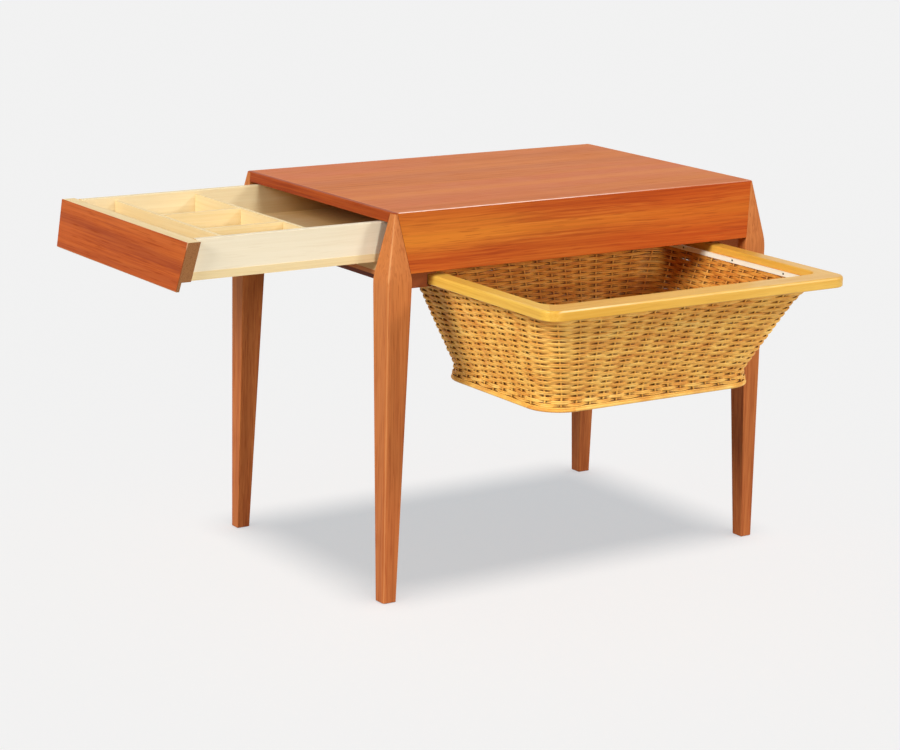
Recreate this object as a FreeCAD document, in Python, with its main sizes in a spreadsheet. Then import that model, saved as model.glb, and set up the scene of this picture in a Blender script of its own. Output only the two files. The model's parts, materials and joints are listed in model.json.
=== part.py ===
import FreeCAD, Part
import math
import os
import Sketcher

# Sewing table: a teak body on four pointed legs, with a fitted drawer that slides out of the left
# end and a woven basket in a wooden frame that slides out under the front apron.
# Lengths are millimetres. +X runs along the long side to the right, +Y to the back, +Z up.
# Pieces are drawn about the middle of the table on the floor, with drawer and basket closed, and
# are then set out to the drawn pose, in which the model's origin is the middle of its footprint.

sizes = {
    # the body as a whole
    "tableHeight": 500,
    "bodyLength": 607.4,       # outside of the legs below the knee
    "bodyWidth": 401.2,
    "topSetInAlong": 16.8,     # how far the top's ends stand in from the legs' outsides
    "topSetInAcross": 13.15,   # and its long sides
    "kneeBelowApron": 7.5,     # above the knee the four sides lean inward
    "kneeBend": 10,            # how far the bend reaches above and below the knee
    "topArris": 1.8,
    "cutOver": 30,             # overrun of every cut
    "sameWithin": 0.01,        # how closely an edge has to lie where it is looked for
    # legs
    "legKnee": 35.8,           # square section at the knee
    "legFoot": 19,             # square section on the floor
    "legTipAlong": 4,          # section at the top face, along X
    "legTipAcross": 11,        # and along Y
    "legTipCover": 1.2,        # the legs stop this far below the top face
    "legArris": 4.5,
    "legEdge": 1,
    # top and aprons
    "topThick": 12.5,
    "lippingThick": 6,
    "apronThick": 14.2,        # measured level
    "apronTall": 75.5,
    "apronEdge": 0.8,
    # dowels and screws
    "dowelRadius": 4,
    "dowelLength": 28,
    "railDowelRadius": 3,
    "railDowelLength": 24,
    "dowelPlay": 0.05,
    "screwRadius": 2,
    "screwHeadRadius": 4,
    "screwHeadDepth": 3,
    "screwBite": 15,
    # rail, runners, guides and stops of the drawer
    "railTall": 11.2,
    "railDepth": 38,
    "railBehindLip": 0.6,
    "railStripThick": 5.5,
    "railStripDepth": 24,
    "runnerBearing": 13,       # how far the drawer's bottom rests on each runner
    "guideThick": 8,
    "guideTall": 14,
    "guideGap": 0.8,
    "stopLength": 14,
    "stopWide": 9,
    "stopTall": 16,
    "stopGap": 0.5,
    "slideGap": 0.3,
    # runners of the basket, grooved along their inner side
    "basketRunnerWide": 32.6,
    "basketRunnerLedge": 13.2,
    "basketRunnerLip": 2.4,
    "basketSideGap": 1.2,
    "basketRunnerSet": 0.5,
    # drawer
    "drawerOut": 277,
    "drawerLegGap": 3.8,
    "drawerRearSpace": 46.9,   # behind the drawer's back, to the right legs, closed
    "drawerBottomThick": 10,
    "drawerBottomProud": 0.6,
    "drawerTopGap": 1.7,       # between the drawer's sides and the top
    "drawerSideThick": 9,
    "drawerSideEdge": 1,
    "drawerBackDrop": 2.8,
    "frontDrop": 1,            # below the top of the drawer's sides
    "frontAboveApron": 0.1,    # the lip ends this far above the aprons' lower edge
    "frontThick": 18,          # measured level
    "frontLipThick": 5.2,
    "frontLipRound": 1.6,
    "frontEdge": 0.6,
    "frontVeneer": 1.2,
    "frontEndGap": 1.4,
    "dividerThick": 5,
    "dividerDrop": 4.8,
    "trayLong": 55.3,          # between the front and the first divider
    "cellLong": 112,           # between the two dividers across
    "backCellWide": 118.9,
    "frontCellWide": 69.9,
    # basket frame
    "basketOut": 249.5,
    "frameSetBack": 3.1,       # closed, behind the legs' outsides
    "frameBelowApron": 5.5,
    "frameThick": 13.5,
    "frameSideRail": 22.3,
    "frameFrontRail": 34,
    "frameCorner": 22,
    "frameInnerCorner": 20,
    "frameTopArris": 3.4,
    "frameLowArris": 1.6,
    "frameInnerArris": 2.2,
    # woven body
    "wallThick": 4.2,
    "wallGap": 0.3,
    "rowRelief": 1.6,          # how far the rows of weaving stand out of the wall
    "heelTall": 15,            # just above the foot the walls stand nearly upright
    "heelDraw": 1.8,           # and draw in by this much
    "wallShoulder": 24,        # below the frame the corners open out over this height
    "collarTall": 4.6,
    "basketTall": 140,         # from the frame's underside to the foot rod's
    "footRodRadius": 2.3,
    "footRodOut": 1.4,         # how far the rod stands out from the wall above it
    "floorThick": 4.5,
    "sideFlare": 43.5,         # how far the walls draw in from the rim to the foot
    "frontFlare": 56.2,
    "backFlare": 28.2,
    "footCorner": 42,
    "shoulderCorner": 37,
    "collarCorner": 20,
    # laths and nails inside the top of the woven body
    "lathThick": 3,
    "lathTall": 6,
    "lathDrop": 1,
    "nailRadius": 0.7,
    "nailHeadRadius": 1.3,
    "nailHeadThick": 0.4,
    "nailLength": 12,
}

# heights of the dowels as shares of the aprons' height, for the long aprons and the right one
longApronDowelShares = (0.15, 0.44)
endApronDowelShares = (0.30, 0.58)
# places of the nails as shares of half the lath's length, for the end laths and the long ones
endNailShares = (-0.72, 0, 0.72)
longNailShares = (-0.83, -0.28, 0.28, 0.83)

doc = FreeCAD.newDocument("sewing_table")
sheet = doc.addObject("Spreadsheet::Sheet", "Sizes")
for row, (alias, number) in enumerate(sizes.items(), start=1):
    sheet.set(f"A{row}", alias)
    sheet.set(f"B{row}", str(number))
    sheet.setAlias(f"B{row}", alias)
doc.recompute()


class Size:
    # a length or a slope: its formula over the sheet's cells, and its value now

    def __init__(self, formula, value):
        self.formula = formula
        self.value = value

    def __add__(self, other):
        other = asSize(other)
        return Size(f"({self.formula} + {other.formula})", self.value + other.value)

    def __sub__(self, other):
        other = asSize(other)
        return Size(f"({self.formula} - {other.formula})", self.value - other.value)

    def __mul__(self, other):
        other = asSize(other)
        return Size(f"({self.formula} * {other.formula})", self.value * other.value)

    def __truediv__(self, other):
        other = asSize(other)
        return Size(f"({self.formula} / {other.formula})", self.value / other.value)

    def __neg__(self):
        return Size(f"(0 - {self.formula})", -self.value)

    def root(self):
        return Size(f"sqrt({self.formula})", self.value ** 0.5)


def asSize(number):
    return number if isinstance(number, Size) else Size(str(number), float(number))


def cell(alias):
    return Size(f"Sizes.{alias}", float(sheet.get(alias)))


zero = asSize(0)
unit = asSize(1)

tableHeight = cell("tableHeight")
bodyLength = cell("bodyLength")
bodyWidth = cell("bodyWidth")
topLength = bodyLength - cell("topSetInAlong") * 2
topWidth = bodyWidth - cell("topSetInAcross") * 2
apronTall = cell("apronTall")
apronBottom = tableHeight - apronTall
kneeHeight = apronBottom - cell("kneeBelowApron")
legKnee = cell("legKnee")
legFoot = cell("legFoot")
cutOver = cell("cutOver")
topUnder = tableHeight - cell("topThick")
apronThick = cell("apronThick")
slideGap = cell("slideGap")
sameWithin = cell("sameWithin")
kneeInX = bodyLength / 2 - legKnee
kneeInY = bodyWidth / 2 - legKnee
runnerTop = apronBottom + cell("railTall")
drawerUnder = runnerTop + slideGap
drawerFloor = drawerUnder + cell("drawerBottomThick")
drawerHalf = kneeInY - cell("drawerLegGap")
channelX = kneeInX - cell("basketRunnerWide")
frameTop = apronBottom - cell("frameBelowApron")
frameUnder = frameTop - cell("frameThick")
frameHalfX = channelX - cell("basketSideGap")
frameHalfY = bodyWidth / 2 - cell("frameSetBack")
openHalfX = frameHalfX - cell("frameSideRail")
openHalfY = frameHalfY - cell("frameFrontRail")

# the leaning sides: how far a face stands from the middle at a height
leanX = (bodyLength - topLength) / 2 / (tableHeight - kneeHeight)
leanY = (bodyWidth - topWidth) / 2 / (tableHeight - kneeHeight)
tipInX = topLength / 2 - cell("legTipAlong")
tipInY = topWidth / 2 - cell("legTipAcross")
legLeanX = (tipInX - kneeInX) / (tableHeight - kneeHeight)
legLeanY = (tipInY - kneeInY) / (tableHeight - kneeHeight)


def outX(height):
    return topLength / 2 + (tableHeight - height) * leanX


def outY(height):
    return topWidth / 2 + (tableHeight - height) * leanY


def legInX(height):
    return tipInX - (tableHeight - height) * legLeanX


def legInY(height):
    return tipInY - (tableHeight - height) * legLeanY


def kneeRadius(lean):
    # radius of a bend that starts kneeBend away from the corner between upright and leaning side
    return cell("kneeBend") * lean / ((unit + lean * lean).root() - unit)


# where the pieces stand in the drawn pose: the rounded lip of the drawer reaches furthest left,
# the legs furthest right and back, and the basket's frame furthest to the front
frontBottom = apronBottom + cell("frontAboveApron")
lipRound = cell("frontLipRound")
lipReach = outX(frontBottom + lipRound) - lipRound * ((unit + leanX * leanX).root() - unit)
originX = (bodyLength / 2 - lipReach - cell("drawerOut")) / 2
originY = (bodyWidth / 2 - frameHalfY - cell("basketOut")) / 2
table = (-originX, -originY, zero)
drawer = (-originX - cell("drawerOut"), -originY, zero)
basket = (-originX, -originY - cell("basketOut"), zero)

nodes = []


def settle(piece, label, group, at=(zero, zero, zero)):
    # gives a finished piece its name and its place
    piece.Label = label
    for axis, own, out in zip("xyz", at, group):
        piece.setExpression(f"Placement.Base.{axis}", (own + out).formula)
    nodes.append(piece)
    return piece


def originPlane(body, role):
    return next(plane for plane in body.Origin.OriginFeatures if plane.Role == role)


def addOutline(sketch, points):
    # a closed outline of straight sides whose corners stand at bound distances from the axes
    first = sketch.GeometryCount
    last = len(points) - 1
    places = [FreeCAD.Vector(across.value, up.value, 0) for across, up in points]
    for index, place in enumerate(places):
        following = places[0 if index == last else index + 1]
        sketch.addGeometry(Part.LineSegment(place, following), False)
    for index, (across, up) in enumerate(points):
        following = first if index == last else first + index + 1
        sketch.addConstraint(Sketcher.Constraint("Coincident", first + index, 2, following, 1))
        for kind, size in (("DistanceX", across), ("DistanceY", up)):
            spot = Sketcher.Constraint(kind, -1, 1, first + index, 1, size.value)
            number = sketch.addConstraint(spot)
            sketch.setExpression(f"Constraints[{number}]", size.formula)


def addRoundedRectangle(sketch, halfX, halfY, radius, middleY):
    # four sides and four corner arcs, joined tangentially about a middle on the Y axis
    x, y, r, shift = halfX.value, halfY.value, radius.value, middleY.value
    up = FreeCAD.Vector(0, 0, 1)
    centres = ((x - r, y - r), (r - x, y - r), (r - x, r - y), (x - r, r - y))
    corners = []
    for quarter, (across, along) in enumerate(centres):
        circle = Part.Circle(FreeCAD.Vector(across, along + shift, 0), up, r)
        angles = (quarter * math.pi / 2, (quarter + 1) * math.pi / 2)
        corners.append(Part.ArcOfCircle(circle, *angles))
    first = sketch.GeometryCount
    for index, corner in enumerate(corners):
        following = corners[index + 1 - len(corners)]
        sketch.addGeometry(corner, False)
        sketch.addGeometry(Part.LineSegment(corner.EndPoint, following.StartPoint), False)
    arcs = [first + 2 * index for index in range(len(corners))]
    lines = [arc + 1 for arc in arcs]
    for index, line in enumerate(lines):
        following = arcs[index + 1 - len(arcs)]
        sketch.addConstraint(Sketcher.Constraint("Tangent", arcs[index], 2, line, 1))
        sketch.addConstraint(Sketcher.Constraint("Tangent", line, 2, following, 1))
    for kind, line in zip(("Horizontal", "Vertical", "Horizontal", "Vertical"), lines):
        sketch.addConstraint(Sketcher.Constraint(kind, line))
    for arc in arcs[1:]:
        sketch.addConstraint(Sketcher.Constraint("Equal", arcs[0], arc))
    bound = (
        ("DistanceY", lines[0], middleY + halfY),
        ("DistanceX", lines[1], -halfX),
        ("DistanceY", lines[2], middleY - halfY),
        ("DistanceX", lines[3], halfX),
    )
    for kind, line, size in bound:
        number = sketch.addConstraint(Sketcher.Constraint(kind, -1, 1, line, 1, size.value))
        sketch.setExpression(f"Constraints[{number}]", size.formula)
    number = sketch.addConstraint(Sketcher.Constraint("Radius", arcs[0], r))
    sketch.setExpression(f"Constraints[{number}]", radius.formula)


def addSketch(body, name, role, offset=zero):
    # a sketch on one of the body's own planes, moved along that plane's normal
    sketch = body.newObject("Sketcher::SketchObject", name)
    sketch.AttachmentSupport = (originPlane(body, role), "")
    sketch.MapMode = "FlatFace"
    sketch.setExpression("AttachmentOffset.Base.z", offset.formula)
    return sketch


def addPad(body, name, sketch, length, middle=True):
    pad = body.newObject("PartDesign::Pad", name)
    pad.Profile = sketch
    pad.Midplane = middle
    pad.setExpression("Length", length.formula)
    return pad


def addPocket(body, name, sketch, length):
    doc.recompute()
    before = body.Shape.Volume
    pocket = body.newObject("PartDesign::Pocket", name)
    pocket.Profile = sketch
    pocket.Midplane = True
    pocket.setExpression("Length", length.formula)
    doc.recompute()
    if body.Shape.Volume >= before:
        raise RuntimeError(name + " cuts nothing")
    return pocket


def addFillet(body, name, wanted, radius):
    doc.recompute()
    base = body.Tip
    edges = [f"Edge{k}" for k, edge in enumerate(base.Shape.Edges, start=1) if wanted(edge)]
    fillet = body.newObject("PartDesign::Fillet", name)
    fillet.Base = (base, edges)
    fillet.setExpression("Radius", radius.formula)
    doc.recompute()
    return fillet


def newBody(name):
    return doc.addObject("PartDesign::Body", name)


def prism(name, role, points, length, middle=zero, evenly=True):
    # an outline drawn out to both sides of its plane, or from its plane along the normal
    body = newBody(name)
    sketch = addSketch(body, name + "_outline", role, middle)
    addOutline(sketch, points)
    addPad(body, name + "_pad", sketch, length, evenly)
    return body


def common(name, *shapes):
    piece = doc.addObject("Part::MultiCommon", name)
    piece.Shapes = list(shapes)
    return piece


def cut(name, base, tool):
    piece = doc.addObject("Part::Cut", name)
    piece.Base = base
    piece.Tool = tool
    return piece


def gather(name, pieces):
    group = doc.addObject("Part::Compound", name)
    group.Links = pieces
    return group


def soften(name, base, wanted, radius):
    # rounds chosen edges of a piece cut from several solids
    doc.recompute()
    piece = doc.addObject("Part::Fillet", name)
    piece.Base = base
    numbers = [k for k, edge in enumerate(base.Shape.Edges, start=1) if wanted(edge)]
    piece.Edges = [(number, radius.value, radius.value) for number in numbers]
    return piece


def board(label, group, low, high):
    # a plain square-edged board between two corners
    piece = doc.addObject("Part::Box", label + "_board")
    for side, start, end in zip(("Length", "Width", "Height"), low, high):
        piece.setExpression(side, (end - start).formula)
    return settle(piece, label, group, low)


def bar(name, direction, at, radius, length):
    # a round bar from a point along a direction
    piece = doc.addObject("Part::Cylinder", name)
    piece.setExpression("Radius", radius.formula)
    piece.setExpression("Height", length.formula)
    piece.Placement.Rotation = FreeCAD.Rotation(FreeCAD.Vector(0, 0, 1), direction)
    for axis, place in zip("xyz", at):
        piece.setExpression(f"Placement.Base.{axis}", place.formula)
    return piece


def spans(edge):
    box = edge.BoundBox
    return box.XLength, box.YLength, box.ZLength


def at(place, size):
    return abs(place - size.value) < sameWithin.value


def level(edge):
    return edge.BoundBox.ZLength < sameWithin.value


def steep(edge):
    along, across, tall = spans(edge)
    return tall > max(along, across)


alongX = FreeCAD.Vector(1, 0, 0)
alongY = FreeCAD.Vector(0, 1, 0)
ends = {"left": -1, "right": 1}
faces = {"front": -1, "back": 1}


def makeEnvelope():
    # the outside of the whole body with its knee bends and rounded arrises, to which legs,
    # aprons, lipping and top are cut
    body = newBody("envelope")
    halfX, halfY, halfTopX, halfTopY = bodyLength / 2, bodyWidth / 2, topLength / 2, topWidth / 2
    sketch = addSketch(body, "envelope_ends", "XZ_Plane")
    addOutline(sketch, [
        (-halfX, zero), (halfX, zero), (halfX, kneeHeight),
        (halfTopX, tableHeight), (-halfTopX, tableHeight), (-halfX, kneeHeight),
    ])
    addPad(body, "envelope_block", sketch, bodyWidth)

    def endKnee(edge):
        middle = edge.CenterOfMass
        return at(abs(middle.x), halfX) and at(middle.z, kneeHeight)

    addFillet(body, "envelope_end_knees", endKnee, kneeRadius(leanX))
    sketch = addSketch(body, "envelope_long_sides", "YZ_Plane")
    above = tableHeight + cutOver
    for side in (-1, 1):
        addOutline(sketch, [
            (halfY * side, kneeHeight), (halfTopY * side, tableHeight), (halfTopY * side, above),
            ((halfY + cutOver) * side, above), ((halfY + cutOver) * side, kneeHeight),
        ])
    addPocket(body, "envelope_lean", sketch, bodyLength + cutOver)

    def longKnee(edge):
        middle = edge.CenterOfMass
        return level(edge) and at(abs(middle.y), halfY) and at(middle.z, kneeHeight)

    addFillet(body, "envelope_long_knees", longKnee, kneeRadius(leanY))
    addFillet(body, "envelope_corners", steep, cell("legArris"))

    def topEdge(edge):
        return level(edge) and at(edge.CenterOfMass.z, tableHeight)

    addFillet(body, "envelope_top", topEdge, cell("topArris"))
    return body


envelope = makeEnvelope()

# slabs that the legs are cut from, with the inner faces sloping from foot to knee to tip
legTop = tableHeight - cell("legTipCover")
endSlabs = {}
for end, side in ends.items():
    endSlabs[end] = prism(f"leg_slab_{end}", "XZ_Plane", [
        ((bodyLength / 2 - legFoot) * side, zero), ((bodyLength / 2 + cutOver) * side, zero),
        ((bodyLength / 2 + cutOver) * side, legTop), (legInX(legTop) * side, legTop),
        (kneeInX * side, kneeHeight),
    ], bodyWidth + cutOver)
faceSlabs = {}
for face, side in faces.items():
    faceSlabs[face] = prism(f"leg_slab_{face}", "YZ_Plane", [
        ((bodyWidth / 2 - legFoot) * side, zero), ((bodyWidth / 2 + cutOver) * side, zero),
        ((bodyWidth / 2 + cutOver) * side, legTop), (legInY(legTop) * side, legTop),
        (kneeInY * side, kneeHeight),
    ], bodyLength + cutOver)
legBlocks = {}
for face in faces:
    for end in ends:
        block = common(f"leg_block_{face}_{end}", envelope, endSlabs[end], faceSlabs[face])
        legBlocks[face, end] = block
allLegBlocks = gather("leg_blocks", list(legBlocks.values()))

# dowels through the joints, and the holes that they fill
dowels = []
dowelHoles = []


def addDowel(name, direction, middle, radius, length):
    play = cell("dowelPlay")
    for prefix, loose, kept in (("dowel_", zero, dowels), ("dowel_hole_", play, dowelHoles)):
        start = []
        for place, share in zip(middle, direction):
            start.append(place - (length / 2 + loose) * share)
        kept.append(bar(prefix + name, direction, start, radius + loose, length + loose * 2))


halfApron = apronThick / 2
for step, share in enumerate(longApronDowelShares, start=1):
    height = apronBottom + apronTall * share
    for face, front in faces.items():
        for end, side in ends.items():
            middle = (legInX(height) * side, (outY(height) - halfApron) * front, height)
            size = (cell("dowelRadius"), cell("dowelLength"))
            addDowel(f"{face}_{end}_{step}", alongX, middle, *size)
for step, share in enumerate(endApronDowelShares, start=1):
    height = apronBottom + apronTall * share
    for face, front in faces.items():
        middle = (outX(height) - halfApron, legInY(height) * front, height)
        addDowel(f"end_{face}_{step}", alongY, middle, cell("dowelRadius"), cell("dowelLength"))


def railFront(height):
    return -(outX(height) - cell("frontLipThick") - cell("railBehindLip"))


railMiddle = (apronBottom + runnerTop) / 2
railBack = railFront(runnerTop) + cell("railDepth")
for face, front in faces.items():
    middle = (railFront(railMiddle) + cell("railDepth") / 2, legInY(railMiddle) * front, railMiddle)
    addDowel(f"rail_{face}", alongY, middle, cell("railDowelRadius"), cell("railDowelLength"))
dowelSpace = gather("dowel_space", dowelHoles)
settle(gather("dowel_group", dowels), "dowels", table)

# screws through the basket's runners into the legs, with countersunk heads
runnerHalfY = outY(apronBottom) - apronThick - cell("basketRunnerSet")
screwHeight = frameTop - cell("frameThick") / 2
screwY = (kneeInY + runnerHalfY) / 2
screws = []
screwHoles = []
for face, front in faces.items():
    for end, side in ends.items():
        direction = alongX * side
        head = (channelX * side, screwY * front, screwHeight)
        neck = ((channelX + cell("screwHeadDepth")) * side, screwY * front, screwHeight)
        reach = kneeInX - channelX + cell("screwBite")
        for prefix, loose, kept in (
            ("screw_", zero, screws), ("screw_hole_", cell("dowelPlay"), screwHoles)
        ):
            name = f"{prefix}{face}_{end}"
            shank = bar(name + "_shank", direction, head, cell("screwRadius") + loose, reach + loose)
            wide = cell("screwHeadRadius") + loose
            top = bar(name + "_head", direction, head, wide, cell("screwHeadDepth") + loose)
            screw = doc.addObject("Part::Fuse", name)
            screw.Base = shank
            screw.Tool = top
            kept.append(screw)
screwSpace = gather("screw_space", screwHoles)
settle(gather("screw_group", screws), "runner_screws", table)

# the legs themselves
for (face, end), block in legBlocks.items():
    front, side = faces[face], ends[end]

    def legEdge(edge, side=side, front=front):
        # the edges between the legs' faces, but for the arris that the envelope rounds, and the foot
        middle = edge.CenterOfMass
        outerX = min(outX(asSize(middle.z)).value, bodyLength.value / 2)
        outerY = min(outY(asSize(middle.z)).value, bodyWidth.value / 2)
        arris = cell("legArris").value * 2
        inside = middle.x * side < outerX - arris or middle.y * front < outerY - arris
        foot = level(edge) and at(middle.z, zero)
        return (steep(edge) and inside) or foot

    soft = soften(f"leg_soft_{face}_{end}", block, legEdge, cell("legEdge"))
    drilled = cut(f"leg_drilled_{face}_{end}", soft, dowelSpace)
    bored = cut(f"leg_bored_{face}_{end}", drilled, screwSpace)
    settle(bored, f"leg_{face}_{end}", table)

# top panel, mitred to the aprons on three sides, with a lipping over the drawer
mitreX = outX(topUnder) - apronThick
mitreY = outY(topUnder) - apronThick
halfTopX = topLength / 2
halfTopY = topWidth / 2
lippingX = halfTopX - cell("lippingThick")
acrossTop = prism("top_across", "YZ_Plane", [
    (-mitreY, topUnder), (mitreY, topUnder), (halfTopY, tableHeight), (-halfTopY, tableHeight),
], bodyLength + cutOver)
alongTop = prism("top_along", "XZ_Plane", [
    (-lippingX, topUnder), (mitreX, topUnder), (halfTopX, tableHeight), (-lippingX, tableHeight),
], bodyWidth + cutOver)
lippingSlab = prism("lipping_slab", "XZ_Plane", [
    (-lippingX, topUnder), (-lippingX, tableHeight),
    (-bodyLength / 2, tableHeight), (-bodyLength / 2, topUnder),
], bodyWidth + cutOver)
topBlock = common("top_block", envelope, acrossTop, alongTop)
settle(cut("top_cut", topBlock, allLegBlocks), "top_panel", table)
lippingBlock = common("lipping_block", envelope, acrossTop, lippingSlab)
settle(cut("lipping_cut", lippingBlock, allLegBlocks), "top_end_lipping", table)


def apronEdge(edge):
    return level(edge) and at(edge.CenterOfMass.z, apronBottom)


# aprons, leaning with the body and ending on the legs
longApronOutline = [
    (-legInX(apronBottom), apronBottom), (legInX(apronBottom), apronBottom),
    (legInX(tableHeight), tableHeight), (-legInX(tableHeight), tableHeight),
]
betweenLegs = prism("between_legs", "XZ_Plane", longApronOutline, bodyWidth + cutOver)
for face, front in faces.items():
    slab = prism(f"apron_slab_{face}", "YZ_Plane", [
        ((outY(apronBottom) - apronThick) * front, apronBottom),
        ((outY(apronBottom) + cutOver) * front, apronBottom),
        ((outY(apronBottom) + cutOver) * front, tableHeight),
        (halfTopY * front, tableHeight), (mitreY * front, topUnder),
    ], bodyLength + cutOver)
    block = common(f"apron_block_{face}", envelope, betweenLegs, slab)
    soft = soften(f"apron_soft_{face}", block, apronEdge, cell("apronEdge"))
    settle(cut(f"apron_drilled_{face}", soft, dowelSpace), f"apron_{face}", table)
endApronOutline = [
    (-legInY(apronBottom), apronBottom), (legInY(apronBottom), apronBottom),
    (legInY(tableHeight), tableHeight), (-legInY(tableHeight), tableHeight),
]
betweenFaces = prism("between_faces", "YZ_Plane", endApronOutline, bodyLength + cutOver)
slab = prism("apron_slab_right", "XZ_Plane", [
    (outX(apronBottom) - apronThick, apronBottom), (outX(apronBottom) + cutOver, apronBottom),
    (outX(apronBottom) + cutOver, tableHeight), (halfTopX, tableHeight), (mitreX, topUnder),
], bodyWidth + cutOver)
block = common("apron_block_right", envelope, betweenFaces, slab)
soft = soften("apron_soft_right", block, apronEdge, cell("apronEdge"))
settle(cut("apron_drilled_right", soft, dowelSpace), "apron_right", table)

# rail under the drawer's front, and the strip under it
stripUnder = apronBottom - cell("railStripThick")
railSection = prism("rail_section", "XZ_Plane", [
    (railFront(apronBottom), apronBottom), (railBack, apronBottom),
    (railBack, runnerTop), (railFront(runnerTop), runnerTop),
], bodyWidth)
railBlock = common("rail_block", railSection, betweenFaces)
settle(cut("rail_drilled", railBlock, dowelSpace), "drawer_rail", table)
stripSection = prism("strip_section", "XZ_Plane", [
    (railFront(apronBottom), stripUnder), (railFront(apronBottom) + cell("railStripDepth"), stripUnder),
    (railFront(apronBottom) + cell("railStripDepth"), apronBottom), (railFront(apronBottom), apronBottom),
], bodyWidth)
stripEnds = prism("strip_ends", "YZ_Plane", [
    (-legInY(stripUnder), stripUnder), (legInY(stripUnder), stripUnder),
    (legInY(apronBottom), apronBottom), (-legInY(apronBottom), apronBottom),
], bodyLength)
settle(common("strip_block", stripSection, stripEnds), "drawer_rail_strip", table)

# runners, guides and stops of the drawer, from the rail's back to the right legs
runnerLong = kneeInX - railBack
runnerInner = drawerHalf - cell("runnerBearing")
rear = kneeInX - cell("drawerRearSpace")
guideInner = drawerHalf + cell("guideGap")
guideOuter = guideInner + cell("guideThick")
guideTop = runnerTop + cell("guideTall")
stopX = rear + cell("stopGap")
stops = []
for face, front in faces.items():
    runner = prism(f"runner_{face}", "YZ_Plane", [
        (runnerInner * front, apronBottom),
        ((outY(apronBottom) - apronThick) * front, apronBottom),
        ((outY(runnerTop) - apronThick) * front, runnerTop),
        (runnerInner * front, runnerTop),
    ], runnerLong, railBack, False)
    settle(runner, f"drawer_runner_{face}", table)
    low, high = (guideInner, guideOuter) if front > 0 else (-guideOuter, -guideInner)
    board(f"drawer_guide_{face}", table, (railBack, low, runnerTop), (kneeInX, high, guideTop))
    stopInner = drawerHalf - cell("stopWide")
    stop = doc.addObject("Part::Box", f"stop_{face}")
    stop.setExpression("Length", cell("stopLength").formula)
    stop.setExpression("Width", cell("stopWide").formula)
    stop.setExpression("Height", cell("stopTall").formula)
    stop.setExpression("Placement.Base.x", stopX.formula)
    stop.setExpression("Placement.Base.y", (stopInner if front > 0 else -drawerHalf).formula)
    stop.setExpression("Placement.Base.z", runnerTop.formula)
    stops.append(stop)
settle(gather("stop_group", stops), "drawer_stops", table)

# grooved runners of the basket, screwed to the legs
channelLow = frameUnder - slideGap
channelHigh = frameTop + slideGap
lip = cell("basketRunnerLip")
for end, side in ends.items():
    ledgeX = channelX - cell("basketRunnerLedge")
    runner = prism(f"basket_runner_blank_{end}", "XZ_Plane", [
        (kneeInX * side, channelLow - lip), (ledgeX * side, channelLow - lip),
        (ledgeX * side, channelLow), (channelX * side, channelLow),
        (channelX * side, channelHigh), (ledgeX * side, channelHigh),
        (ledgeX * side, channelHigh + lip), (kneeInX * side, channelHigh + lip),
    ], runnerHalfY * 2)
    settle(cut(f"basket_runner_bored_{end}", runner, screwSpace), f"basket_runner_{end}", table)


# drawer: front with a lip over the rail, faced with veneer
def frontFace(height):
    return -outX(height)


sideTop = topUnder - cell("drawerTopGap")
frontTop = sideTop - cell("frontDrop")
frontThick = cell("frontThick")
veneer = cell("frontVeneer")
lipThick = cell("frontLipThick")


def makeFrontBlank():
    body = newBody("front_blank")
    sketch = addSketch(body, "front_section", "XZ_Plane")
    addOutline(sketch, [
        (frontFace(frontBottom), frontBottom), (frontFace(frontBottom) + lipThick, frontBottom),
        (frontFace(drawerUnder) + lipThick, drawerUnder),
        (frontFace(drawerUnder) + frontThick, drawerUnder),
        (frontFace(frontTop) + frontThick, frontTop), (frontFace(frontTop), frontTop),
    ])
    addPad(body, "front_pad", sketch, bodyWidth)
    sketch = addSketch(body, "front_ends", "YZ_Plane")
    gap = cell("frontEndGap")
    for side in (-1, 1):
        addOutline(sketch, [
            ((legInY(frontBottom) - gap) * side, frontBottom - cutOver),
            ((legInY(frontBottom) - gap) * side, frontBottom),
            ((legInY(frontTop) - gap) * side, frontTop),
            ((legInY(frontTop) - gap) * side, frontTop + cutOver),
            (bodyWidth * side, frontTop + cutOver), (bodyWidth * side, frontBottom - cutOver),
        ])
    addPocket(body, "front_ends_cut", sketch, bodyLength + cutOver)

    def lowEdge(edge):
        low = level(edge) and at(edge.CenterOfMass.z, frontBottom)
        return low and at(edge.CenterOfMass.x, frontFace(frontBottom))

    addFillet(body, "front_lip_round", lowEdge, lipRound)

    def faceEdge(edge):
        middle = edge.CenterOfMass
        outer = at(middle.x, frontFace(asSize(middle.z)))
        return outer and middle.z > (frontBottom + lipRound).value

    addFillet(body, "front_soft", faceEdge, cell("frontEdge"))
    return body


frontBlank = makeFrontBlank()
frontUp = frontTop + cutOver
frontDown = frontBottom - cutOver
coreSlab = prism("front_core_slab", "XZ_Plane", [
    (frontFace(frontDown) + veneer, frontDown), (frontFace(frontUp) + veneer, frontUp),
    (-kneeInX + frontThick, frontUp), (-kneeInX + frontThick, frontDown),
], bodyWidth + cutOver)
veneerSlab = prism("front_veneer_slab", "XZ_Plane", [
    (frontFace(frontDown) - cutOver, frontDown), (frontFace(frontUp) - cutOver, frontUp),
    (frontFace(frontUp) + veneer, frontUp), (frontFace(frontDown) + veneer, frontDown),
], bodyWidth + cutOver)
settle(common("front_core", frontBlank, coreSlab), "drawer_front", drawer)
settle(common("front_skin", frontBlank, veneerSlab), "drawer_front_veneer", drawer)

# drawer: bottom board, sides and back behind the front
sideThick = cell("drawerSideThick")
sideOuter = drawerHalf - cell("drawerBottomProud")
sideInner = sideOuter - sideThick


def frontBack(height):
    return frontFace(height) + frontThick


bottom = prism("bottom_blank", "XZ_Plane", [
    (frontBack(drawerUnder), drawerUnder), (rear, drawerUnder),
    (rear, drawerFloor), (frontBack(drawerFloor), drawerFloor),
], drawerHalf * 2)
settle(bottom, "drawer_bottom", drawer)


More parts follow.
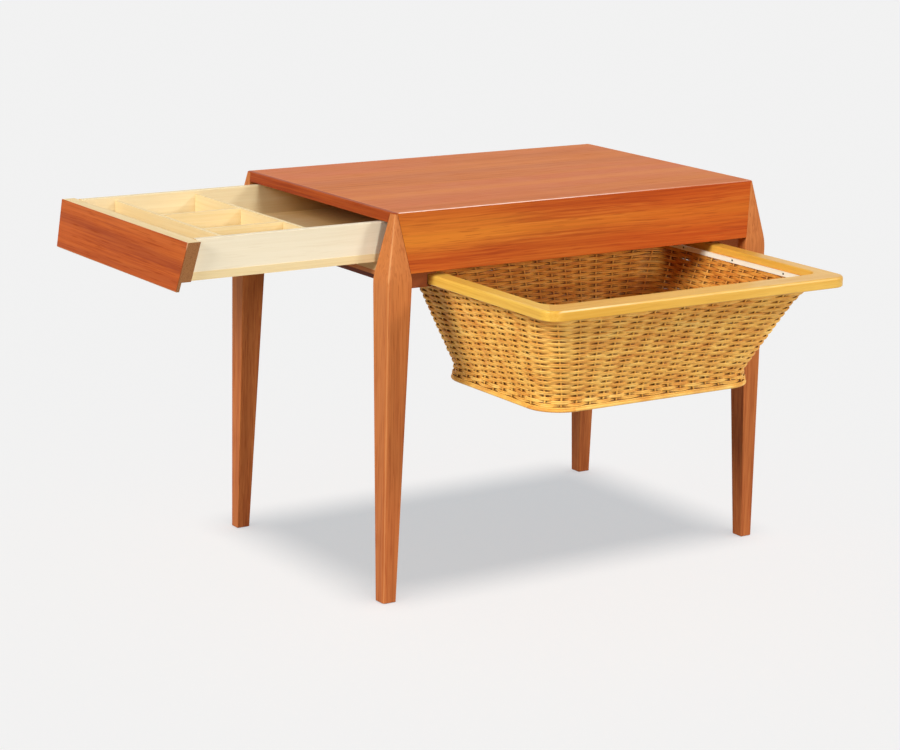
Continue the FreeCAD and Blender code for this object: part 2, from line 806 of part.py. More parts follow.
def sideEdge(edge):
    long = edge.BoundBox.XLength > sideThick.value
    return long and at(edge.CenterOfMass.z, sideTop)


for face, front in faces.items():
    # the normal of this plane points to the front
    middle = (sideOuter + sideInner) / 2 * -front
    blank = prism(f"side_blank_{face}", "XZ_Plane", [
        (frontBack(drawerFloor), drawerFloor), (rear, drawerFloor),
        (rear, sideTop), (frontBack(sideTop), sideTop),
    ], sideThick, middle)
    addFillet(blank, f"side_soft_{face}", sideEdge, cell("drawerSideEdge"))
    settle(blank, f"drawer_side_{face}", drawer)
backTop = sideTop - cell("drawerBackDrop")
low = (rear - sideThick, -sideInner, drawerFloor)
board("drawer_back", drawer, low, (rear, sideInner, backTop))

# dividers, two across and two lengthwise between them
halfDivider = cell("dividerThick") / 2
dividerTop = sideTop - cell("dividerDrop")
firstX = frontBack(drawerFloor) + cell("trayLong") + halfDivider
secondX = firstX + cell("cellLong") + halfDivider * 2
for name, place in (("front", firstX), ("rear", secondX)):
    low = (place - halfDivider, -sideInner, drawerFloor)
    board(f"cross_divider_{name}", drawer, low, (place + halfDivider, sideInner, dividerTop))
backPlace = sideInner - cell("backCellWide") - halfDivider
frontPlace = halfDivider + cell("frontCellWide") - sideInner
for name, place in (("back", backPlace), ("front", frontPlace)):
    low = (firstX + halfDivider, place - halfDivider, drawerFloor)
    high = (secondX - halfDivider, place + halfDivider, dividerTop)
    board(f"lengthwise_divider_{name}", drawer, low, high)


# basket frame: one rounded ring, mitred into four rails
def makeFrameRing():
    body = newBody("frame_ring")
    sketch = addSketch(body, "frame_outline", "XY_Plane", frameUnder)
    addRoundedRectangle(sketch, frameHalfX, frameHalfY, cell("frameCorner"), zero)
    addRoundedRectangle(sketch, openHalfX, openHalfY, cell("frameInnerCorner"), zero)
    addPad(body, "frame_pad", sketch, cell("frameThick"), False)

    def outer(edge):
        box = edge.BoundBox
        return max(abs(box.XMin), abs(box.XMax)) > openHalfX.value + sameWithin.value or (
            max(abs(box.YMin), abs(box.YMax)) > openHalfY.value + sameWithin.value)

    def topOuter(edge):
        return level(edge) and at(edge.CenterOfMass.z, frameTop) and outer(edge)

    def topInner(edge):
        return level(edge) and at(edge.CenterOfMass.z, frameTop) and not outer(edge)

    def lowOuter(edge):
        return level(edge) and at(edge.CenterOfMass.z, frameUnder) and outer(edge)

    addFillet(body, "frame_top_round", topOuter, cell("frameTopArris"))
    addFillet(body, "frame_low_round", lowOuter, cell("frameLowArris"))
    addFillet(body, "frame_inner_round", topInner, cell("frameInnerArris"))
    return body


frameRing = makeFrameRing()
pastX = openHalfX - cell("frameSideRail")
pastY = openHalfY - cell("frameFrontRail")
frameTall = cell("frameThick") * 3
for face, front in faces.items():
    wedge = prism(f"frame_wedge_{face}", "XY_Plane", [
        (-frameHalfX, frameHalfY * front), (-pastX, pastY * front),
        (pastX, pastY * front), (frameHalfX, frameHalfY * front),
    ], frameTall, frameUnder)
    settle(common(f"frame_cut_{face}", frameRing, wedge), f"frame_rail_{face}", basket)
for end, side in ends.items():
    wedge = prism(f"frame_wedge_{end}", "XY_Plane", [
        (frameHalfX * side, -frameHalfY), (pastX * side, -pastY),
        (pastX * side, pastY), (frameHalfX * side, frameHalfY),
    ], frameTall, frameUnder)
    settle(common(f"frame_cut_{end}", frameRing, wedge), f"frame_rail_{end}", basket)

# woven body: a thin shell from the foot to the inside of the frame
wall = cell("wallThick")
collarUnder = frameUnder - cell("lathDrop")
rimX = openHalfX - cell("wallGap")
rimY = openHalfY - cell("wallGap")
footUnder = frameUnder - cell("basketTall")
floorUnder = footUnder + cell("footRodRadius") * 2
shoulder = collarUnder - cell("wallShoulder")
collarTop = frameUnder + cell("collarTall")
footX = rimX - cell("sideFlare")
footY = rimY - (cell("frontFlare") + cell("backFlare")) / 2
footBack = (cell("frontFlare") - cell("backFlare")) / 2
footCorner = cell("footCorner")
heel = floorUnder + cell("heelTall")
heelX = footX - cell("heelDraw")
heelY = footY - cell("heelDraw")
toShoulder = (shoulder - heel) / (collarUnder - heel)

# height, half length, half width, corner radius and middle of the outside, from the foot up
footLevel = (floorUnder, footX, footY, footCorner, footBack)
heelLevel = (heel, heelX, heelY, footCorner, footBack)
shoulderLevel = (
    shoulder, heelX + (rimX - heelX) * toShoulder, heelY + (rimY - heelY) * toShoulder,
    cell("shoulderCorner"), footBack * (unit - toShoulder),
)
rimLevel = (collarUnder, rimX, rimY, cell("collarCorner"), zero)


def levelBetween(low, high, share):
    return [a + (b - a) * share for a, b in zip(low, high)]


def makeWovenBody():
    # the outside swells once for each two rows of weaving, the inside is smooth
    body = newBody("woven_body")
    relief = cell("rowRelief")
    collar = (rimX, rimY, cell("collarCorner"), zero)
    outside = [footLevel]
    stretches = ((footLevel, heelLevel, 2), (heelLevel, shoulderLevel, 12), (shoulderLevel, rimLevel, 3))
    for low, high, swells in stretches:
        for step in range(1, swells * 2):
            height, halfX, halfY, corner, middle = levelBetween(low, high, step / (swells * 2))
            dent = relief if step % 2 == 0 else zero
            outside.append((height, halfX - dent, halfY - dent, corner - dent, middle))
        if high is not rimLevel:
            height, halfX, halfY, corner, middle = high
            outside.append((height, halfX - relief, halfY - relief, corner - relief, middle))
    outside += [rimLevel, (collarTop, *collar)]
    floorTop = levelBetween(footLevel, heelLevel, cell("floorThick") / cell("heelTall"))
    inside = [floorTop, heelLevel, shoulderLevel, rimLevel, (collarTop + cutOver, *collar)]
    for name, kind, sections, inset in (
        ("outside", "PartDesign::AdditiveLoft", outside, zero),
        ("inside", "PartDesign::SubtractiveLoft", inside, wall),
    ):
        sketches = []
        for step, (height, halfX, halfY, corner, middle) in enumerate(sections, start=1):
            sketch = addSketch(body, f"woven_{name}_{step}", "XY_Plane", height)
            size = (halfX - inset, halfY - inset, corner - inset, middle)
            addRoundedRectangle(sketch, *size)
            sketches.append(sketch)
        doc.recompute()
        loft = body.newObject(kind, f"woven_{name}")
        loft.Profile = sketches[0]
        loft.Sections = sketches[1:]
        loft.Ruled = True
        doc.recompute()
    return body


settle(makeWovenBody(), "basket_body", basket)


def makeFootRod():
    body = newBody("foot_rod")
    radius = cell("footRodRadius")
    middleZ = footUnder + radius
    inset = radius - cell("footRodOut")
    spine = addSketch(body, "foot_rod_path", "XY_Plane", middleZ)
    size = (footX - inset, footY - inset, footCorner - inset, footBack)
    addRoundedRectangle(spine, *size)
    section = addSketch(body, "foot_rod_section", "YZ_Plane")
    middleY = footBack - (footY - inset)
    centre = FreeCAD.Vector(middleY.value, middleZ.value, 0)
    circle = Part.Circle(centre, FreeCAD.Vector(0, 0, 1), radius.value)
    section.addGeometry(circle, False)
    for kind, size in (("DistanceX", middleY), ("DistanceY", middleZ)):
        spot = Sketcher.Constraint(kind, -1, 1, 0, 3, size.value)
        number = section.addConstraint(spot)
        section.setExpression(f"Constraints[{number}]", size.formula)
    number = section.addConstraint(Sketcher.Constraint("Radius", 0, radius.value))
    section.setExpression(f"Constraints[{number}]", radius.formula)
    doc.recompute()
    pipe = body.newObject("PartDesign::AdditivePipe", "foot_rod_pipe")
    pipe.Profile = section
    pipe.Spine = (spine, [f"Edge{k}" for k in range(1, len(spine.Shape.Edges) + 1)])
    return body


settle(makeFootRod(), "basket_foot_rod", basket)

# laths that hold the woven body against the frame, nailed through it into the rails
lathX = rimX - wall
lathY = rimY - wall
lathThick = cell("lathThick")
lathTop = collarUnder + cell("lathTall")
lathEnd = cell("collarCorner") - wall
endY = lathY - lathEnd
endX = lathX - lathEnd
for end, side in ends.items():
    low, high = (lathX - lathThick, lathX) if side > 0 else (-lathX, lathThick - lathX)
    board(f"lath_{end}", basket, (low, -endY, collarUnder), (high, endY, lathTop))
for face, front in faces.items():
    low, high = (lathY - lathThick, lathY) if front > 0 else (-lathY, lathThick - lathY)
    board(f"lath_{face}", basket, (-endX, low, collarUnder), (endX, high, lathTop))
nails = []
nailHeight = frameUnder + (lathTop - frameUnder) / 2


def addNail(name, direction, start):
    shank = bar(name + "_shank", direction, start, cell("nailRadius"), cell("nailLength"))
    thick = cell("nailHeadThick")
    head = [place - thick * share for place, share in zip(start, direction)]
    top = bar(name + "_head", direction, head, cell("nailHeadRadius"), thick)
    nail = doc.addObject("Part::Fuse", name)
    nail.Base = shank
    nail.Tool = top
    nails.append(nail)


for step, share in enumerate(endNailShares, start=1):
    for end, side in ends.items():
        start = ((lathX - lathThick) * side, endY * share, nailHeight)
        addNail(f"nail_{end}_{step}", alongX * side, start)
for step, share in enumerate(longNailShares, start=1):
    for face, front in faces.items():
        start = (endX * share, (lathY - lathThick) * front, nailHeight)
        addNail(f"nail_{face}_{step}", alongY * front, start)
settle(gather("nail_group", nails), "lath_nails", basket)

doc.recompute()
for item in doc.Objects:
    if "Invalid" in item.State or "Error" in item.State:
        raise RuntimeError(f"{item.Name} did not compute: {item.State}")
labels = [piece.Label for piece in nodes]
if len(set(labels)) < len(labels):
    raise RuntimeError("two pieces share a name")
for piece in nodes:
    if piece.Shape.isNull() or not piece.Shape.isValid() or not piece.Shape.Solids:
        raise RuntimeError(piece.Label + " has no valid solid")
os.makedirs("parts", exist_ok=True)
for piece in nodes:
    piece.Shape.exportStep(f"parts/{piece.Label}.step")
    box = piece.Shape.BoundBox
    corner = f"{box.XMin:8.1f} {box.YMin:8.1f} {box.ZMin:7.1f}"
    print(f"{piece.Label:26s} {len(piece.Shape.Solids):3d} {corner} {piece.Shape.Volume:12.0f}")
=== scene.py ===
import json
import math
import random

import bmesh
import bpy
from mathutils import Matrix, Vector


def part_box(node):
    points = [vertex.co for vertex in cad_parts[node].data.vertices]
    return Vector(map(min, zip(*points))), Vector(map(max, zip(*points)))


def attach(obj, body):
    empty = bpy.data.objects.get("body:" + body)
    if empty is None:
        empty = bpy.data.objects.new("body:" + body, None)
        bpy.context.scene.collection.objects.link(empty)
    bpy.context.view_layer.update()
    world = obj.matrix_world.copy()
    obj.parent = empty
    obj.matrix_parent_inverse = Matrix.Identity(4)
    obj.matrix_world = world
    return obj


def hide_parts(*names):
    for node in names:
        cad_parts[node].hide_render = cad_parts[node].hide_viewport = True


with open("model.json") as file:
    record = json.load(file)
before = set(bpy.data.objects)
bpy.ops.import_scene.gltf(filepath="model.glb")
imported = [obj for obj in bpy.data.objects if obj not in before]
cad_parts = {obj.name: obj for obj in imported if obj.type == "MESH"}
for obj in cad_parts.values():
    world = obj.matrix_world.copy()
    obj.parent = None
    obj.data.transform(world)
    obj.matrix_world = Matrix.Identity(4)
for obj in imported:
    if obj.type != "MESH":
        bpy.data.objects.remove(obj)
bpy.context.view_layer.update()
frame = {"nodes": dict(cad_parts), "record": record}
nodes = frame["nodes"]
print("frame loaded,", len(nodes), "nodes")

scene = bpy.context.scene
scene.view_settings.view_transform = "Standard"


# shader helpers

class Wire:
    # a socket that can be summed, multiplied and compared with others or with numbers

    def __init__(self, finish, socket):
        self.finish = finish
        self.socket = socket

    def maths(self, operation, *values):
        return self.finish.make("ShaderNodeMath", {"operation": operation}, dict(enumerate(values)))

    def __add__(self, other):
        return self.maths("ADD", self, other)

    def __radd__(self, other):
        return self.maths("ADD", other, self)

    def __sub__(self, other):
        return self.maths("SUBTRACT", self, other)

    def __rsub__(self, other):
        return self.maths("SUBTRACT", other, self)

    def __mul__(self, other):
        return self.maths("MULTIPLY", self, other)

    def __rmul__(self, other):
        return self.maths("MULTIPLY", other, self)

    def size(self):
        return self.maths("ABSOLUTE", self)

    def fraction(self):
        return self.maths("FRACT", self)

    def larger(self, other):
        return self.maths("MAXIMUM", self, other)

    def clamp(self, low=0.0, high=1.0):
        inputs = {"Value": self, "Min": low, "Max": high}
        return self.finish.make("ShaderNodeClamp", {}, inputs)

    def step(self, low, high):
        # 0 below low, 1 above high, smooth between
        inputs = {"Value": self, "From Min": low, "From Max": high}
        return self.finish.make("ShaderNodeMapRange", {"interpolation_type": "SMOOTHSTEP"}, inputs)


class Finish:
    # a material under construction, or the world when that is given

    def __init__(self, name, world=None):
        self.material = world or bpy.data.materials.new(name)
        self.material.use_nodes = True
        self.tree = self.material.node_tree
        self.tree.nodes.clear()

    def make(self, kind, settings=None, inputs=None, output=0):
        node = self.tree.nodes.new(kind)
        for name, value in (settings or {}).items():
            if name == "stops":
                ramp = node.color_ramp
                while len(ramp.elements) < len(value):
                    ramp.elements.new(0.5)
                for element, (place, colour) in zip(ramp.elements, value):
                    element.position = place
                    element.color = (*colour, 1)
            else:
                setattr(node, name, value)
        for name, value in (inputs or {}).items():
            if isinstance(value, Wire):
                self.tree.links.new(value.socket, node.inputs[name])
            else:
                node.inputs[name].default_value = value
        return Wire(self, node.outputs[output]) if len(node.outputs) else None

    def place(self):
        return self.make("ShaderNodeTexCoord", output="Object")

    def facing(self):
        return self.make("ShaderNodeTexCoord", output="Normal")

    def scaled(self, vector, factors):
        return self.make("ShaderNodeVectorMath", {"operation": "MULTIPLY"}, {0: vector, 1: factors})

    def moved(self, vector, other):
        return self.make("ShaderNodeVectorMath", {"operation": "ADD"}, {0: vector, 1: other})

    def part(self, vector, axis):
        return self.make("ShaderNodeSeparateXYZ", {}, {0: vector}, "XYZ".index(axis))

    def noise(self, vector, scale, detail=3.0, roughness=0.55, colour=False):
        inputs = {"Vector": vector, "Scale": scale, "Detail": detail, "Roughness": roughness}
        return self.make("ShaderNodeTexNoise", {}, inputs, 1 if colour else 0)

    def blend(self, share, first, second, kind="MIX"):
        # mixes colours
        first, second = (value if isinstance(value, Wire) else (*value, 1) for value in (first, second))
        settings = {"data_type": "RGBA", "blend_type": kind}
        return self.make("ShaderNodeMix", settings, {0: share, 6: first, 7: second}, 2)

    def surface(self, colour, roughness, bump, depth, strength, constants):
        relief = {"Strength": strength, "Distance": depth, "Height": bump}
        normal = self.make("ShaderNodeBump", {}, relief)
        inputs = dict(constants, Normal=normal, Roughness=roughness)
        inputs["Base Color"] = colour
        shader = self.make("ShaderNodeBsdfPrincipled", {}, inputs)
        self.make("ShaderNodeOutputMaterial", {}, {"Surface": shader})
        return self.material


# camera and light

cameraPlace = {
    "spot": (-1.83171, -2.71136, 1.04937),
    "azimuth": -33.7546,
    "elevation": 13.4952,
    "roll": 1.1913,
    "lens": 103.033,
}


def makeCamera():
    data = bpy.data.cameras.new("camera")
    data.sensor_width = 36
    data.lens = cameraPlace["lens"]
    data.clip_start, data.clip_end = 0.05, 60
    camera = bpy.data.objects.new("camera", data)
    scene.collection.objects.link(camera)
    a, e, r = (math.radians(cameraPlace[name]) for name in ("azimuth", "elevation", "roll"))
    back = Vector((math.sin(a) * math.cos(e), -math.cos(a) * math.cos(e), math.sin(e)))
    side = (-back).cross(Vector((0, 0, 1))).normalized()
    up = side.cross(-back)
    across = side * math.cos(r) + up * math.sin(r)
    upright = up * math.cos(r) - side * math.sin(r)
    turn = Matrix((across, upright, back)).transposed().to_4x4()
    camera.matrix_world = Matrix.Translation(Vector(cameraPlace["spot"])) @ turn
    scene.camera = camera


# soft lamps, far off: where each one stands in degrees, how wide it looks and how bright it is
warmWhite, pureWhite = (1.0, 0.99, 0.97), (1.0, 1.0, 1.0)
lamps = {
    "front": {"azimuth": 1, "elevation": 12, "wide": 8, "level": 0.40, "tint": warmWhite, "shine": True},
    "right": {"azimuth": 46, "elevation": 30, "wide": 12, "level": 0.40, "tint": warmWhite, "shine": True},
    "left": {"azimuth": -78, "elevation": 28, "wide": 26, "level": 0.90, "tint": warmWhite, "shine": True},
    "behind": {"azimuth": 160, "elevation": 30, "wide": 40, "level": 0.28, "tint": pureWhite, "shine": False},
    "above": {"azimuth": 0, "elevation": 88, "wide": 16, "level": 0.60, "tint": pureWhite, "shine": False},
}
lampDistance = 4
surroundings = {"level": 0.14, "backdrop": 0.885}
floorLook = {
    "width": 60,
    "drop": 0.0004,                      # the floor lies this far under the feet
    "lamp": "above",                     # the lamp that lights the floor, and nothing else
    "shadow": (0.395, 0.362, 0.335),     # how much darker the floor is in full shadow
    "bounce": 0.40, "bounceGlow": 0.12,  # what the floor throws back at the object
}


def makeFloor():
    # a wide pale floor as bright as the backdrop; its own lamp throws the shadow on it
    mesh = bpy.data.meshes.new("floor")
    b = bmesh.new()
    bmesh.ops.create_grid(b, x_segments=1, y_segments=1, size=floorLook["width"] / 2)
    b.to_mesh(mesh)
    b.free()
    floor = bpy.data.objects.new("floor", mesh)
    scene.collection.objects.link(floor)
    floor.location.z = -floorLook["drop"]
    lamp = lamps[floorLook["lamp"]]
    daylight = surroundings["level"] + lamp["level"] * math.sin(math.radians(lamp["elevation"]))
    white = tuple(part / daylight for part in floorLook["shadow"])
    glow = tuple(surroundings["backdrop"] - part for part in floorLook["shadow"])
    finish = Finish("floor_paint")

    def matt(colour):
        return finish.make("ShaderNodeBsdfDiffuse", {}, {"Color": (*colour, 1)})

    def glowing(colour, strength):
        return finish.make("ShaderNodeEmission", {}, {"Color": (*colour, 1), "Strength": strength})

    # the object meets a dull floor, the camera and shiny surfaces see the pale one
    dull = matt((floorLook["bounce"],) * 3)
    spill = glowing(pureWhite, floorLook["bounceGlow"])
    unseen = finish.make("ShaderNodeAddShader", {}, {0: dull, 1: spill})
    lit = finish.make("ShaderNodeAddShader", {}, {0: matt(white), 1: glowing(glow, 1.0)})
    seen = finish.make("ShaderNodeLightPath", output="Is Camera Ray")
    shiny = finish.make("ShaderNodeLightPath", output="Is Glossy Ray")
    both = finish.make("ShaderNodeMixShader", {}, {0: (seen + shiny).clamp(), 1: unseen, 2: lit})
    # from below the floor is clear, so that the underside can be looked at
    below = finish.make("ShaderNodeNewGeometry", output="Backfacing")
    clear = finish.make("ShaderNodeBsdfTransparent")
    paint = finish.make("ShaderNodeMixShader", {}, {0: below, 1: both, 2: clear})
    finish.make("ShaderNodeOutputMaterial", {}, {"Surface": paint})
    mesh.materials.append(finish.material)
    return floor


def makeLamps(floor):
    for name, lamp in lamps.items():
        data = bpy.data.lights.new(name, "SUN")
        data.energy = lamp["level"] * math.pi
        data.angle = math.radians(lamp["wide"])
        data.color = lamp["tint"]
        item = bpy.data.objects.new(name, data)
        scene.collection.objects.link(item)
        a, e = math.radians(lamp["azimuth"]), math.radians(lamp["elevation"])
        away = Vector((math.sin(a) * math.cos(e), -math.cos(a) * math.cos(e), math.sin(e)))
        item.location = away * lampDistance
        item.rotation_euler = away.to_track_quat("Z", "Y").to_euler()
        lit = bpy.data.collections.new(name + "_lamp_and_floor")
        lit.objects.link(floor)
        item.light_linking.receiver_collection = lit
        item.visible_glossy = lamp["shine"]
        if name == floorLook["lamp"]:
            # on the floor lies the shadow of the table itself, and not of what slides out of it
            casting = bpy.data.collections.new("table_shadow")
            for node in frame["record"]["behaviour"]["bodies"]["table"]:
                casting.objects.link(nodes[node])
            item.light_linking.blocker_collection = casting
        else:
            lit.collection_objects[0].light_linking.link_state = "EXCLUDE"


def makeWorld():
    # an even soft light, and a pale backdrop for what is seen directly, in gloss or through glass
    scene.world = bpy.data.worlds.new("surroundings")
    finish = Finish("surroundings", scene.world)
    seen = finish.make("ShaderNodeLightPath", output="Is Camera Ray")
    shiny = finish.make("ShaderNodeLightPath", output="Is Glossy Ray")
    through = finish.make("ShaderNodeLightPath", output="Is Transmission Ray")
    white, backdrop = (1, 1, 1, 1), (surroundings["backdrop"],) * 3 + (1,)
    lit = finish.make("ShaderNodeBackground", {}, {"Color": white, "Strength": surroundings["level"]})
    shown = finish.make("ShaderNodeBackground", {}, {"Color": backdrop, "Strength": 1.0})
    both = finish.make("ShaderNodeMixShader", {}, {0: seen.larger(shiny).larger(through), 1: lit, 2: shown})
    finish.make("ShaderNodeOutputWorld", {}, {"Surface": both})


makeCamera()
makeLamps(makeFloor())
makeWorld()
print("camera, lamps and floor made")


# wood

# where each mask starts and ends
masks = {
    "bands": (0.25, 0.75), "late": (0.2, 0.9), "lateEnd": (0.93, 1.0), "faint": (0.35, 0.65),
    "streaks": (0.3, 0.7), "pores": (0.56, 0.70), "patches": (0.40, 0.62), "ends": (0.72, 0.86),
    "specks": (0.45, 0.68),
}


def woodFinish(name, grain, look):
    # grain runs along one axis; the other two cross it. Tones go from pale to dark
    finish = Finish(name)
    whole = finish.place()
    spot = finish.moved(whole, look["shift"])
    cross = [axis for axis in "XYZ" if axis != grain]
    gentle = tuple(0.5 if axis == grain else 1 for axis in "XYZ")
    bend = (finish.noise(finish.scaled(spot, gentle), look["bendScale"], 2.0) - 0.5) * look["bend"]
    placed = {}
    for index, axis in enumerate("XYZ"):
        value = finish.part(spot, axis)
        placed[index] = value if axis == grain else value + bend
    joined = finish.make("ShaderNodeCombineXYZ", {}, placed)

    def along(stretch):
        return finish.scaled(joined, tuple(1 / stretch if axis == grain else 1.0 for axis in "XYZ"))

    # wide bands, the yearly rings cut at a slant, thin streaks and the pores
    bands = finish.noise(along(look["stretch"]), look["bandScale"], 3.0, 0.6)
    sideways, inward = (finish.part(joined, axis) * slant for axis, slant in zip(cross, look["slant"]))
    drift = finish.noise(along(look["stretch"] * 0.7), look["ringDriftScale"], 2.0, 0.5)
    ring = ((sideways + inward) * look["rings"] + drift * look["ringDrift"]).fraction()
    late = ring.step(*masks["late"]) * (1 - ring.step(*masks["lateEnd"]))
    faint = finish.noise(along(6), 30, 2.0, 0.5).step(*masks["faint"])
    streaks = finish.noise(along(look["streakStretch"]), look["streakScale"], 3.0, 0.7)
    pores = finish.noise(along(look["poreStretch"]), look["poreScale"], 1.0, 0.5).step(*masks["pores"])
    tone = (bands.step(*masks["bands"]) * look["bandShare"] + late * faint * look["ringShare"]
            + streaks.step(*masks["streaks"]) * look["streakShare"]).clamp()
    ramp = finish.make("ShaderNodeValToRGB", {"stops": [
        (0.0, look["pale"]), (0.5, look["middle"]), (1.0, look["dark"])]}, {0: tone})
    patches = finish.noise(along(look["patchStretch"]), look["patchScale"], 2.0).step(*masks["patches"])
    colour = finish.blend(patches * look["patchShare"], ramp, look["patch"])
    # broad stripes and sweeps that this piece alone has
    for stripe in look.get("stripes", ()):
        wide = stripe["wide"]
        centre = finish.part(whole, grain) * stripe["slope"] + stripe["at"]
        off = (finish.part(whole, stripe["across"]) + (bands - 0.5) * wide * 0.9 - centre).size()
        share = (1 - off.step(wide * 0.2, wide)) * (0.55 + streaks * 0.7) * stripe["share"]
        colour = finish.blend(share.clamp(), colour, stripe["colour"])
    for sweep in look.get("sweeps", ()):
        reach = finish.part(whole, sweep["axis"]) + (bands - 0.5) * (sweep["to"] - sweep["from"]) * 0.6
        share = reach.step(sweep["from"], sweep["to"]) * sweep["share"]
        colour = finish.blend(share, colour, sweep["colour"])
    colour = finish.blend(pores * look["poreShare"], colour, look["pore"])
    # sawn ends are darker, with the pores as specks
    ends = finish.part(finish.facing(), grain).size().step(*masks["ends"])
    specks = finish.noise(spot, 900, 2.0).step(*masks["specks"])
    colour = finish.blend(ends, colour, finish.blend(specks * 0.55, look["end"], look["pore"]))
    # painted highlights along arrises, where light catches a rounded edge; on the drawer front partly the
    # veneer's own paler edge
    for edge in look.get("edges", ()):
        share = (0.6 + finish.noise(spot, 60, 2.0) * 0.8) * edge["share"]
        for near in nearEdge(finish, whole, edge):
            share = share * near
        colour = finish.blend(share.clamp(), colour, edge["colour"])
    rubbed = finish.noise(spot, 14, 3.0, 0.6)
    rough = (look["roughness"] + (streaks - 0.5) * 0.10 + pores * 0.10 + ends * 0.18
             + (rubbed - 0.5) * 0.12).clamp(0.05, 1.0)
    height = streaks * 0.4 + pores * -0.9 + late * 0.2
    return finish.surface(colour, rough, height, look["relief"], look["bump"], look["constants"])


def nearEdge(finish, whole, edge):
    # masks that are 1 along an arris, whose place may lean with the height
    near = []
    for axis, place in edge["at"].items():
        if isinstance(place, tuple):
            place = finish.part(whole, "Z") * place[1] + place[0]
        off = (finish.part(whole, axis) - place).size()
        near.append(1 - off.step(edge["wide"] * 0.4, edge["wide"]))
    if "between" in edge:
        height = finish.part(whole, "Z")
        low, high = edge["between"]
        near.append(height.step(low - 0.002, low + 0.002))
        near.append(1 - height.step(high - 0.002, high + 0.002))
    if "fades" in edge:
        axis, start, end = edge["fades"]
        near.append(1 - finish.part(whole, axis).step(start, end) * 0.8)
    return near


plainGrain = {
    "bendScale": 3.0, "bend": 0.018,
    "stretch": 26, "bandScale": 60, "bandShare": 0.40,
    "slant": (0.6, 1.0), "rings": 150, "ringDriftScale": 14, "ringDrift": 3, "ringShare": 0.16,
    "streakScale": 400, "streakStretch": 70, "streakShare": 0.56,
    "poreScale": 600, "poreStretch": 26, "poreShare": 0.34,
    "patchScale": 16, "patchStretch": 9, "patchShare": 0.5,
    "relief": 0.00006, "bump": 0.4, "roughness": 0.48,
    "constants": {"IOR": 1.45, "Specular IOR Level": 0.13},
}
topLow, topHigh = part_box("top_panel")
apronLow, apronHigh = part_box("apron_front")
teakApron = dict(
    plainGrain, pale=(0.64, 0.190, 0.024), middle=(0.465, 0.088, 0.008), dark=(0.20, 0.022, 0.002),
    pore=(0.24, 0.028, 0.002), patch=(0.66, 0.21, 0.020), end=(0.27, 0.075, 0.022),
)
apronOwn = {
    "sweeps": [{
        "axis": "X", "from": apronLow.x + 0.18, "to": apronLow.x + 0.52,
        "share": 0.42, "colour": (0.52, 0.070, 0.002),
    }],
    "stripes": [
        {"across": "Z", "at": apronLow.z + 0.012, "slope": 0.0, "wide": 0.020,
         "share": 0.45, "colour": (0.44, 0.062, 0.006)},
        {"across": "Z", "at": apronLow.z + 0.041, "slope": 0.004, "wide": 0.012,
         "share": 0.45, "colour": (0.72, 0.24, 0.020)},
        {"across": "Z", "at": apronHigh.z - 0.006, "slope": 0.0, "wide": 0.012,
         "share": 0.40, "colour": (0.42, 0.060, 0.005)},
    ],
}
teakTop = dict(
    teakApron, pale=(0.64, 0.205, 0.042), middle=(0.55, 0.155, 0.030), dark=(0.38, 0.088, 0.018),
    patch=(0.58, 0.150, 0.055), pore=(0.30, 0.060, 0.015), bandScale=34, patchScale=12, patchStretch=14,
    ringShare=0.10, roughness=0.50, patchShare=0.65, poreShare=0.16, streakShare=0.34,
    constants={"IOR": 1.45, "Specular IOR Level": 0.10},
    stripes=[
        {"across": "Y", "at": topLow.y + 0.115, "slope": 0.02, "wide": 0.022,
         "share": 0.5, "colour": (0.66, 0.235, 0.040)},
        {"across": "Y", "at": topLow.y + 0.235, "slope": -0.01, "wide": 0.030,
         "share": 0.5, "colour": (0.47, 0.120, 0.040)},
        {"across": "Y", "at": topLow.y + 0.020, "slope": 0.0, "wide": 0.020,
         "share": 0.35, "colour": (0.50, 0.120, 0.020)},
    ],
    # painted highlight along the top's front arris, fading to the right, and a fainter one along its left
    # arris
    edges=[
        {"at": {"Y": topLow.y, "Z": topHigh.z}, "wide": 0.0034, "share": 1.0, "colour": (1.0, 0.78, 0.68),
         "fades": ("X", topLow.x + 0.22, topLow.x + 0.48)},
        {"at": {"X": topLow.x, "Z": topHigh.z}, "wide": 0.0022, "share": 0.35,
         "colour": (0.75, 0.32, 0.16)},
    ],
)
teakEndBand = dict(
    teakApron, pale=(0.41, 0.078, 0.010), middle=(0.31, 0.047, 0.005), dark=(0.17, 0.019, 0.003),
    patchShare=0.2,
)
frontLow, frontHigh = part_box("drawer_front_veneer")
frontTall = frontHigh.z - frontLow.z
teakFront = dict(
    teakApron, pale=(0.56, 0.125, 0.016), middle=(0.47, 0.088, 0.010), dark=(0.27, 0.034, 0.004),
    bandScale=44, patch=(0.55, 0.105, 0.012), patchShare=0.4,
    stripes=[
        {"across": "Z", "at": frontLow.z + frontTall * 0.52, "slope": 0.03, "wide": 0.010,
         "share": 0.42, "colour": (0.24, 0.030, 0.006)},
        {"across": "Z", "at": frontLow.z + frontTall * 0.16, "slope": -0.02, "wide": 0.007,
         "share": 0.35, "colour": (0.26, 0.034, 0.006)},
        {"across": "Z", "at": frontLow.z + frontTall * 0.86, "slope": 0.02, "wide": 0.008,
         "share": 0.30, "colour": (0.60, 0.15, 0.03)},
    ],
    # paler lines along the veneer's near end and bottom arrises: the veneer's own edge, with painted
    # highlight
    edges=[
        {"at": {"Y": frontLow.y}, "wide": 0.0016, "share": 0.55, "colour": (0.78, 0.45, 0.24)},
        {"at": {"Z": frontLow.z}, "wide": 0.0018, "share": 0.50, "colour": (0.74, 0.38, 0.16)},
    ],
)
teakLeg = dict(
    teakApron, pale=(0.56, 0.185, 0.052), middle=(0.45, 0.120, 0.031), dark=(0.26, 0.052, 0.014),
    patch=(0.57, 0.190, 0.052), stretch=34, bandScale=90, rings=110, ringShare=0.12, patchShare=0.4,
    sweeps=[{"axis": "Z", "from": 0.05, "to": 0.45, "share": 0.40, "colour": (0.66, 0.240, 0.062)}],
)
